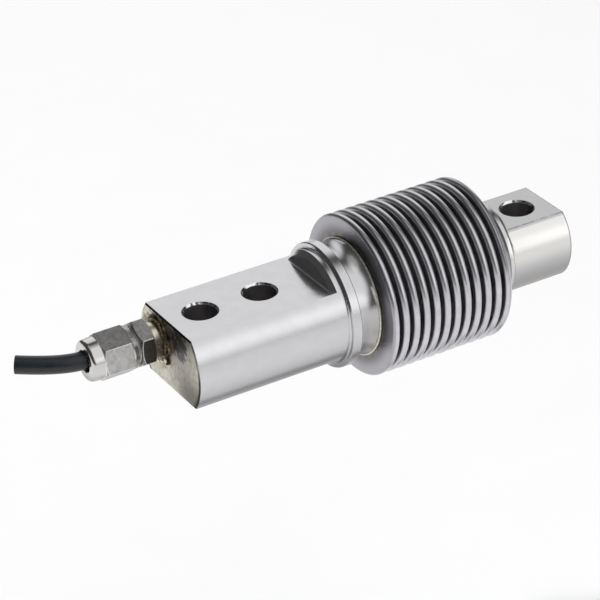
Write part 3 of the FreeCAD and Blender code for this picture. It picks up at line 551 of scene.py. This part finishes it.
NUT_TURN = 21.4
HEX_SIDE = 6.0
NUT_MOUTH = -27.7
NUT_BAND = -29.0
NUT_HEX_END = -37.5
MOUTH_RADIUS = 5.9
BAND_RADIUS = 6.2
NUT_SHANK = 5.95
THREAD_RADIUS = 4.95
THREAD_END = -35.2
NOSE_START = (-40.0, 5.75)
NOSE_ROUND = (1.1, 1.15)
NOSE_END = -41.1
ENTRY_RADIUS = 2.95
ENTRY_EDGE = 0.3
CORNERS_SLOPE = 1 / math.tan(math.radians(30.0))
ROUND_STEPS = 240
CORNER_STEPS = 12
CORNER_STEP = 0.05
NOSE_STEPS = 9


def nut_row(x, turns):
    """Radii round the nut at a place along its hexagon. The corners are
    turned off toward both of its ends."""
    limit = min(
        BAND_RADIUS + (NUT_BAND - x) * CORNERS_SLOPE,
        NUT_SHANK + (x - NUT_HEX_END) * CORNERS_SLOPE,
    )
    sides = [HEX_SIDE / math.cos(math.radians(turn % 60 - 30)) for turn in turns]
    return [max(NUT_SHANK, min(side, limit)) for side in sides]


def round_rows(line):
    """Round rows of the nut from points of place and radius."""
    return [(x, [radius] * ROUND_STEPS) for x, radius in line]


# The nut is one closed skin of rows, from its thread out over the band, the
# hexagon and the nose, and back through the cable's hole.
turns = [360 / ROUND_STEPS * i for i in range(ROUND_STEPS)]
steps = [CORNER_STEP * i for i in range(CORNER_STEPS)]
hexagon = [NUT_BAND - s for s in steps] + [NUT_HEX_END + s for s in reversed(steps)]
nose = [math.radians(90 / NOSE_STEPS * i) for i in range(NOSE_STEPS + 1)]
rows = round_rows([(NUT_MOUTH, THREAD_RADIUS), (NUT_MOUTH, MOUTH_RADIUS), (NUT_BAND, BAND_RADIUS)])
rows += [(x, nut_row(x, turns)) for x in hexagon]
rows += round_rows([
    (NOSE_START[0] - NOSE_ROUND[0] * math.sin(a), NOSE_START[1] - NOSE_ROUND[1] * (1 - math.cos(a)))
    for a in nose
])
rows += round_rows([
    (NOSE_END, ENTRY_RADIUS + ENTRY_EDGE), (NOSE_END + ENTRY_EDGE, ENTRY_RADIUS),
    (THREAD_END, ENTRY_RADIUS), (THREAD_END, THREAD_RADIUS),
])
points = []
for x, radii in rows:
    for turn, radius in zip(turns, radii):
        angle = math.radians(turn + NUT_TURN)
        y = GLAND_Y + radius * math.cos(angle)
        z = GLAND_Z + radius * math.sin(angle)
        points.append((x * MM, y * MM, z * MM))
faces = []
for i in range(len(rows)):
    here = i * ROUND_STEPS
    beyond = (i + 1) % len(rows) * ROUND_STEPS
    for j in range(ROUND_STEPS):
        k = (j + 1) % ROUND_STEPS
        faces.append((here + j, here + k, beyond + k, beyond + j))
mesh = bpy.data.meshes.new("gland_cap_nut")
mesh.from_pydata(points, [], faces)
work = bmesh.new()
work.from_mesh(mesh)
bmesh.ops.remove_doubles(work, verts=work.verts, dist=MERGE_WITHIN)
bmesh.ops.recalc_face_normals(work, faces=work.faces)
work.to_mesh(mesh)
work.free()
mesh.materials.append(plated)
mesh.shade_smooth()
mesh.set_sharp_from_angle(angle=math.radians(24))
nut = bpy.data.objects.new("gland_cap_nut", mesh)
bpy.context.scene.collection.objects.link(nut)
stands_for(nut, "gland_nut")

WELD_PLACE = (-19.1, GLAND_Y, GLAND_Z)
DROP_PLACE = (-19.4, 1.2, 8.5)
DROP_FRONT = (-20.0, 1.2, 8.5)
DROP_SIZE = (0.7, 0.85, 1.5)
DROP_LEAN = -20

# The weld round the gland's collar was drawn by hand, so it is lumpy, and its
# heat has left straw, brown and blue-black oxide on it. The drop that ran from
# it is bright in the middle and dark round its edge.
oxide, tree, place = finish_for("stainless_weld_heat_tinted")
patch = add(tree, "ShaderNodeTexNoise", {
    "Vector": place, "Scale": 0.5, "Detail": 5.0, "Roughness": 0.6,
})
tint = add(tree, "ShaderNodeValToRGB", {"Fac": patch}, stops=[
    (0.4, "2b2622"), (0.5, "5d5344"), (0.6, "8f8468"), (0.68, "d2c9b2"),
])
gloss = add(tree, "ShaderNodeMath", {0: patch, 1: -0.3, 2: 0.65}, operation="MULTIPLY_ADD")
from_drop = add(tree, "ShaderNodeVectorMath", {0: place, 1: DROP_FRONT}, operation="DISTANCE")
tint, gloss = layered(tree, tint, gloss, [
    ("2b2622", 0.4, 0.9, [(from_drop, 2.4, 2.0)]),
    ("d9d0b8", 0.3, 0.95, [(from_drop, 0.9, 0.6)]),
])
surfaced(tree, tint, gloss, patch, 0.25, 0.1)

weld = settled(started("gland_weld_bead"), beaded, {
    "Ring radius": 6.0 * MM, "Bead radius": 0.6 * MM, "Pulses": 40, "Swell": 0.05,
    "Lumps": 1.6 * MM, "Lump scale": 260.0, "Sides": 16,
    "Place": [MM * p for p in WELD_PLACE], "Finish": oxide,
})
# One drop of weld ran down the end face from the ring.
drop = Matrix.Translation(Vector(DROP_PLACE) * MM)
drop @= Matrix.Rotation(math.radians(DROP_LEAN), 4, "X")
drop @= Matrix.Diagonal((*(MM * s for s in DROP_SIZE), 1.0))
work = bmesh.new()
work.from_mesh(weld.data)
drop_points = bmesh.ops.create_icosphere(work, subdivisions=3, radius=1.0, matrix=drop)["verts"]
for point in drop_points:
    for face in point.link_faces:
        face.smooth = True
work.to_mesh(weld.data)
work.free()
stands_for(weld, "gland_weld")


# Cable
# A round four-core cable with a smooth black polyurethane jacket, held by the
# nut's rubber seal and cut square.

CABLE_ROUTE = [
    (-28.0, 5.7, 13.25),
    (-38.4, 5.7, 13.25),
    (-48.513, 8.128, 13.25),
    (-57.036, 13.877, 13.879),
]
CABLE_RADIUS = 2.5
# Polyurethane: blue-black, half glossy, with a faint drag of the die.
jacket, tree, place = finish_for("polyurethane_jacket_extruded")
skin = add(tree, "ShaderNodeTexNoise", {"Vector": place, "Scale": 0.9, "Detail": 3.0})
tint = add(tree, "ShaderNodeValToRGB", {"Fac": skin}, stops=[(0.3, "101418"), (0.7, "1c2228")])
gloss = add(tree, "ShaderNodeMath", {0: skin, 1: 0.2, 2: 0.26}, operation="MULTIPLY_ADD")
surfaced(tree, tint, gloss, skin, 0.1, 0.05, metal=0.0)

curve = bpy.data.curves.new("signal_cable", "CURVE")
curve.dimensions = "3D"
curve.bevel_depth = CABLE_RADIUS * MM
curve.bevel_resolution = 10
curve.use_fill_caps = True
spline = curve.splines.new("NURBS")
spline.points.add(len(CABLE_ROUTE) - 1)
for point, (x, y, z) in zip(spline.points, CABLE_ROUTE):
    point.co = (x * MM, y * MM, z * MM, 1.0)
spline.order_u = 3
spline.use_endpoint_u = True
spline.resolution_u = 24
curve.materials.append(jacket)
cable = bpy.data.objects.new("signal_cable", curve)
bpy.context.scene.collection.objects.link(cable)
stands_for(cable, "cable")


# Seal and washer of the gland
# Moulded nitrile rubber, squeezed on the cable by a plain nylon washer.

def mottled(name, low, high, grain, rough, metal=0.0):
    """A finish for a small part from two shades, with a grain size in mm."""
    material, tree, place = finish_for(name)
    speck = add(tree, "ShaderNodeTexNoise", {"Vector": place, "Scale": 1 / grain, "Detail": 3.0})
    tint = add(tree, "ShaderNodeValToRGB", {"Fac": speck}, stops=[(0.35, low), (0.65, high)])
    gloss = add(tree, "ShaderNodeMath", {0: speck, 1: 0.15, 2: rough}, operation="MULTIPLY_ADD")
    surfaced(tree, tint, gloss, speck, 0.1, 0.05, metal)
    return material


def refinish(material, *names):
    """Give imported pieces, whose shape is already right, their own finish."""
    for name in names:
        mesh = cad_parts[name].data
        mesh.materials.clear()
        mesh.materials.append(material)


refinish(mottled("nitrile_rubber_moulded", "17181a", "232528", 0.7, 0.55), "gland_seal")
refinish(mottled("nylon_washer_punched", "d8d5cb", "e6e3da", 1.1, 0.4), "gland_washer")


# Terminal board and its resistors
# A segment of glass-fibre board, cut from sheet, with three trimming resistors
# of fired ceramic in a row and solder points for every wire.

refinish(mottled("glass_fibre_board_sawn", "3c5f3a", "4c7448", 0.6, 0.45), "terminal_board")
refinish(
    mottled("resistor_ceramic_fired", "23252a", "31343a", 0.4, 0.35),
    "temperature_resistor", "zero_trim_resistor", "span_resistor",
)
refinish(mottled("solder_reflowed", "b9bbbd", "d4d5d6", 0.6, 0.2, metal=1.0), "solder_points")


# Cores and sleeve
# Four stranded cores in extruded insulation, each of its own colour, inside a
# woven glass-fibre sleeve where they pass through the block.

for core, low, high in (
    ("red", "a61c1c", "c02a26"),
    ("black", "1a1a1c", "29292b"),
    ("green", "1f7a3c", "2c9150"),
    ("white", "dcdbd6", "eceae5"),
):
    refinish(mottled(f"core_insulation_{core}", low, high, 0.8, 0.4), f"core_{core}")
# The weave's ridges are 0.35 mm apart, as glass yarn of that sleeve lies.
sleeving, tree, place = finish_for("glass_fibre_sleeve_woven")
weave = add(tree, "ShaderNodeTexWave", {
    "Vector": place, "Scale": 0.9, "Distortion": 1.5,
}, bands_direction="X")
tint = add(tree, "ShaderNodeValToRGB", {"Fac": weave.outputs["Fac"]}, stops=[
    (0.2, "b5ab90"), (0.8, "ded7c2"),
])
surfaced(tree, tint, 0.7, weave.outputs["Fac"], 0.4, 0.1, metal=0.0)
refinish(sleeving, "core_sleeve")


# Strain gauges and their leads
# Foil gauges: an etched grid under a thin amber film, bonded to the beam, and
# pairs of bare copper wire that join them and run to the board.

# Amber film, half glossy. The grid's lines show through it 0.45 mm apart, far
# coarser than the real ones.
film, tree, place = finish_for("gauge_film_laminated")
grid = add(tree, "ShaderNodeTexWave", {"Vector": place, "Scale": 0.7}, bands_direction="Y")
tint = add(tree, "ShaderNodeValToRGB", {"Fac": grid.outputs["Fac"]}, stops=[
    (0.42, "c48a3a"), (0.58, "8d6a48"),
])
surfaced(tree, tint, 0.25, grid.outputs["Fac"], 0.2, 0.02, metal=0.0)
copper = mottled("copper_wire_drawn", "b8693c", "cf8354", 0.45, 0.2, metal=1.0)
for side in ("top", "bottom"):
    refinish(film, f"strain_gauge_{side}_rear", f"strain_gauge_{side}_front")
    refinish(copper, f"gauge_leads_{side}", f"bridge_leads_{side}")


# Studio
# A wide white table well below the object, which takes its soft shadow, and
# soft panels of light: one behind at the right, two in front and a faint one
# overhead. The room is dark between them, so that the folds and edges read.

FLOOR_HEIGHT = -0.138
HALF_TABLE = 3.0
laminate, tree, place = finish_for("table_laminate_white")
fleck = add(tree, "ShaderNodeTexNoise", {"Vector": place, "Scale": 0.03, "Detail": 2.0})
tint = add(tree, "ShaderNodeValToRGB", {"Fac": fleck}, stops=[(0.3, "f6f6f6"), (0.7, "f7f7f7")])
top = add(tree, "ShaderNodeBsdfPrincipled", {"Base Color": tint, "Roughness": 0.7})
add(tree, "ShaderNodeOutputMaterial", {"Surface": top})
table = bpy.data.meshes.new("table")
table.from_pydata(
    [(x * HALF_TABLE, y * HALF_TABLE, FLOOR_HEIGHT) for x, y in ((-1, -1), (1, -1), (1, 1), (-1, 1))],
    [], [(0, 1, 2, 3)],
)
table.materials.append(laminate)
floor = bpy.data.objects.new("table", table)
bpy.context.scene.collection.objects.link(floor)

world = bpy.data.worlds.new("studio")
bpy.context.scene.world = world
world.use_nodes = True
tree = world.node_tree
tree.nodes.clear()
toward = add(tree, "ShaderNodeTexCoord").outputs["Generated"]
# Panels as direction, inner and outer half angle in degrees, and strength.
PANELS = [
    ((0.45, 0.76, 0.45), 16, 36, 0.95),
    ((0.40, -0.66, 0.63), 22, 52, 0.95),
    ((0.40, -0.90, 0.04), 8, 34, 0.42),
    ((0.0, 0.0, 1.0), 10, 24, 0.45),
]
light = 0.075
for direction, inner, outer, strength in PANELS:
    facing = add(tree, "ShaderNodeVectorMath", {
        0: toward, 1: tuple(Vector(direction).normalized()),
    }, operation="DOT_PRODUCT")
    shine = add(tree, "ShaderNodeMapRange", {
        "Value": facing, "From Min": math.cos(math.radians(outer)),
        "From Max": math.cos(math.radians(inner)), "To Min": 0.0, "To Max": strength,
    }, interpolation_type="SMOOTHSTEP")
    light = add(tree, "ShaderNodeMath", {0: shine, 1: light}, operation="ADD")
room = add(tree, "ShaderNodeBackground", {"Color": (1.0, 1.0, 1.0, 1.0), "Strength": light})
add(tree, "ShaderNodeOutputWorld", {"Surface": room})

# A soft lamp overhead lights the table and the dull pieces, and lays the
# object's shadow under it. The metal doesn't show the lamp.
lamp_data = bpy.data.lights.new("overhead", "AREA")
lamp_data.shape = "DISK"
lamp_data.size = 0.7
lamp_data.energy = 99.0
lamp = bpy.data.objects.new("overhead", lamp_data)
lamp.location = (-1.0, 0.2, 3.6)
lamp.rotation_euler = Vector((-1.04, 0.2, 3.6)).to_track_quat("Z", "Y").to_euler()
lamp.visible_glossy = False
bpy.context.scene.collection.objects.link(lamp)

# The camera stands at the front left, above, with a long lens. Its turn, tip
# and roll are in degrees.
CAMERA_ANGLES = (-28.95, 29.52, -3.21)
CAMERA_DISTANCE = 0.76506
BAR_MIDDLE = (0.041, 0.0, 0.01025)
ASIDE = 0.01728
BELOW = 0.00253
turn, tip, roll = (math.radians(a) for a in CAMERA_ANGLES)
back = Vector((math.sin(turn) * math.cos(tip), -math.cos(turn) * math.cos(tip), math.sin(tip)))
right = Vector((math.cos(turn), math.sin(turn), 0.0))
up = back.cross(right)
wide = right * math.cos(roll) + up * math.sin(roll)
upward = up * math.cos(roll) - right * math.sin(roll)
aim = Vector(BAR_MIDDLE) - wide * ASIDE - upward * BELOW
stand = aim + back * CAMERA_DISTANCE
camera_data = bpy.data.cameras.new("photo_camera")
camera_data.lens = 168.58
camera_data.sensor_width = 36.0
camera = bpy.data.objects.new("photo_camera", camera_data)
camera.matrix_world = Matrix((
    (wide.x, upward.x, back.x, stand.x),
    (wide.y, upward.y, back.y, stand.y),
    (wide.z, upward.z, back.z, stand.z),
    (0.0, 0.0, 0.0, 1.0),
))
bpy.context.scene.collection.objects.link(camera)
bpy.context.scene.camera = camera
bpy.context.scene.view_settings.view_transform = "Standard"
